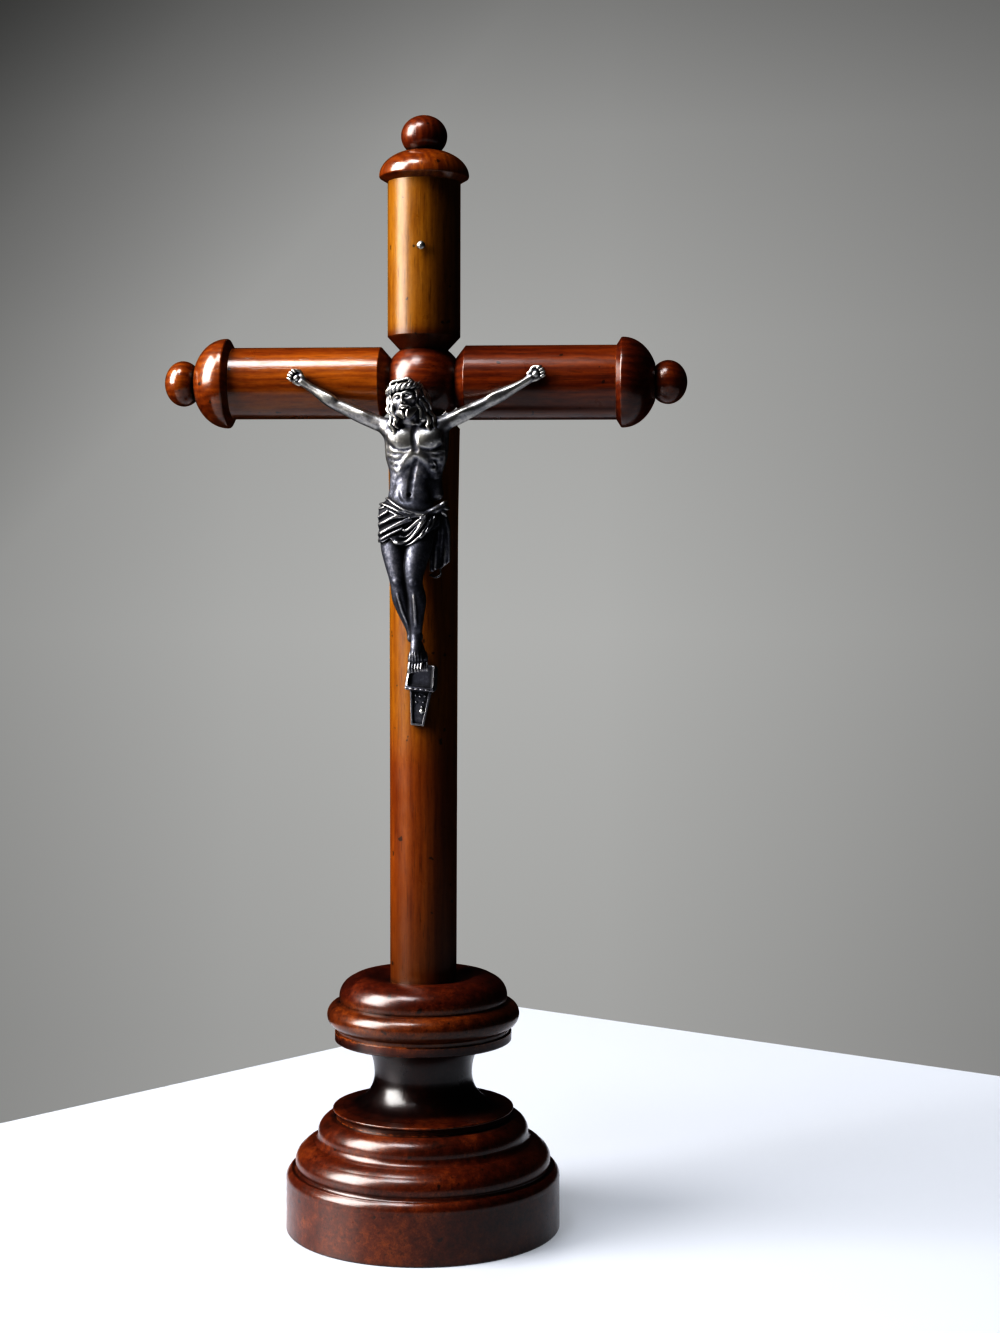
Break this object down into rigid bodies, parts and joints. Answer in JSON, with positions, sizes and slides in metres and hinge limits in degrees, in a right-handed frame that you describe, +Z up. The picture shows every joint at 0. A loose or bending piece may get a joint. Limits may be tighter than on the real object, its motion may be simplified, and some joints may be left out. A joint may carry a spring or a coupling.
{
  "type": "altar cross",
  "caption": "Standing altar cross of turned, varnished wood on a round moulded base, with capped bar ends, ball finials and a cast metal corpus nailed to the front.",
  "frame": {"origin": "centre of the round base's underside, on the surface the cross stands on", "axes": "+Z up along the upright, +X along the crossbar to the right as seen from the front, -Y towards the viewer, the side the figure is on"},
  "size_m": [0.1738, 0.092, 0.37],
  "materials": {
    "post_wood": "honey-brown stain under gloss varnish",
    "crossbar_wood": "red-brown stain under gloss varnish",
    "base_wood": "dark mahogany stain under gloss varnish, worn at the edges",
    "cast_metal": "white-metal casting with a blackened antique silver finish, rubbed bright on the high spots",
    "nail_metal": "dull domed pins"
  },
  "bodies": {
    "root": {"base_plinth": "base_wood", "base_stem": "base_wood", "knop": "base_wood", "lower_shaft": "post_wood", "hub": "crossbar_wood", "upper_post": "post_wood", "left_crossbar": "crossbar_wood", "right_crossbar": "crossbar_wood", "top_cap": "crossbar_wood", "top_finial": "crossbar_wood", "left_cap": "crossbar_wood", "left_finial": "crossbar_wood", "right_cap": "crossbar_wood", "right_finial": "crossbar_wood", "corpus_body": "cast_metal", "corpus_left_arm": "cast_metal", "corpus_right_arm": "cast_metal", "footrest": "cast_metal", "left_hand_nail": "nail_metal", "right_hand_nail": "nail_metal", "feet_nail": "nail_metal", "tab_nail": "nail_metal", "titulus_pin": "nail_metal"}
  },
  "joints": []
}
